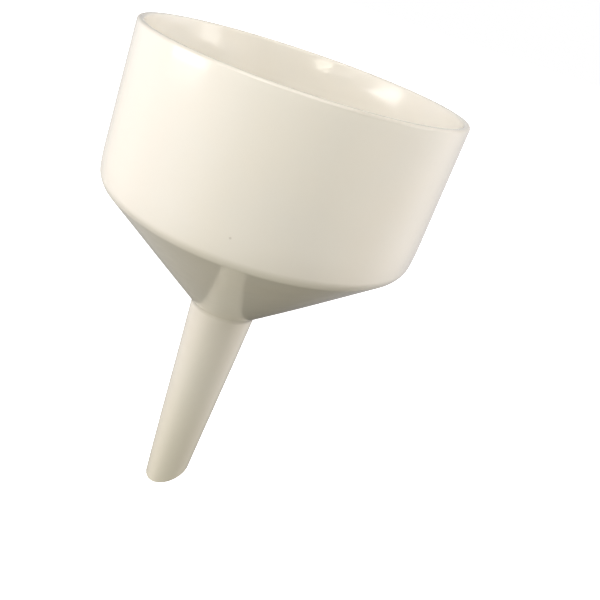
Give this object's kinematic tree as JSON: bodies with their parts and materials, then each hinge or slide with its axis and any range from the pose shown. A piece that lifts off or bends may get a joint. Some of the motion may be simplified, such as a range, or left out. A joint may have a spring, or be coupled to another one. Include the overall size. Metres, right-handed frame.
{
  "type": "buchner funnel",
  "caption": "Glazed porcelain vacuum filter funnel with an upright bowl, a fixed perforated plate, a cone and a tapered stem with a slanted tip.",
  "frame": {"origin": "on the funnel's axis, at the level of the lowest point of the stem's slanted tip", "axes": "+Z along the funnel's axis from the stem to the rim; the tip's slanted cut faces up towards +X and +Y, 25 degrees from +X"},
  "size_m": [0.12, 0.12, 0.185],
  "materials": {
    "glazed_porcelain": "glossy warm white glaze, wiped thin on the rim",
    "glazed_plate": "glossy glaze with a fine orange-peel surface"
  },
  "bodies": {
    "root": {"bowl_wall": "glazed_porcelain", "perforated_plate": "glazed_plate", "plate_fillet": "glazed_porcelain", "underplate_fillet": "glazed_porcelain", "cone": "glazed_porcelain", "stem": "glazed_porcelain", "stem_fillet": "glazed_porcelain"}
  },
  "joints": []
}
